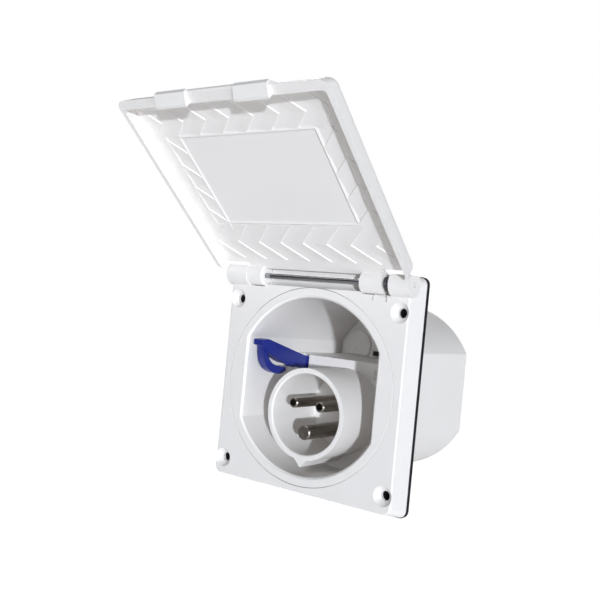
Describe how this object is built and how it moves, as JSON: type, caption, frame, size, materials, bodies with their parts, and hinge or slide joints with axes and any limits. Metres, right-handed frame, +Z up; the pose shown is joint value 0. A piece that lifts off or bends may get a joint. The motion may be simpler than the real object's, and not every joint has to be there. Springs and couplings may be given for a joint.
{
  "type": "generator inlet box",
  "caption": "Flush wall box with a round recessed three-pin power inlet, hinged square lid held open, blue locking lever and rubber wall gasket.",
  "frame": {"origin": "middle of the four wall-screw holes, on the plane where the gasket meets the wall", "axes": "+Y into the wall, towards the rear box; +Z up, hinge side; +X to the right seen from in front"},
  "size_m": [0.1078, 0.1786, 0.1711],
  "materials": {
    "white_plastic": "satin, fine moulding texture",
    "carrier_plastic": "satin",
    "blue_plastic": "semi-gloss",
    "black_rubber": "matte",
    "nickel": "nickel plated, drawn along the pin",
    "zinc_steel": "zinc plated",
    "bright_steel": "polished",
    "spring_steel": "dark oiled"
  },
  "bodies": {
    "housing": {"front_frame": "white_plastic", "frame_gasket": "black_rubber", "rear_box": "white_plastic", "rear_cover": "white_plastic", "inlet_body": "white_plastic", "contact_carrier": "carrier_plastic", "pin_line": "nickel", "pin_neutral": "nickel", "pin_earth": "nickel", "terminal_screws": "zinc_steel", "carrier_screws": "zinc_steel", "ring_screws": "zinc_steel", "cover_screws": "zinc_steel", "blanking_plug": "white_plastic", "drain_flap": "black_rubber", "cable_grommet": "black_rubber", "cord_clamp": "white_plastic", "clamp_screws": "zinc_steel", "hinge_rod": "bright_steel", "lid_spring": "spring_steel", "lever_pin": "bright_steel", "lever_spring": "spring_steel"},
    "lid_body": {"lid": "white_plastic"},
    "lever_body": {"locking_lever": "blue_plastic"}
  },
  "joints": [
    {"name": "lid_hinge", "type": "hinge", "parent": "housing", "child": "lid_body", "pos_m": [0, -0.0127, 0.0524], "axis": [1, 0, 0], "range_deg": [0, 130]},
    {"name": "lever_pivot", "type": "hinge", "parent": "housing", "child": "lever_body", "pos_m": [-0.0268, 0.0286, 0.0086], "axis": [-1, 0, 0], "range_deg": [0, 4], "stiffness_Nm_per_rad": 0.12, "springref_deg": -2.86}
  ]
}
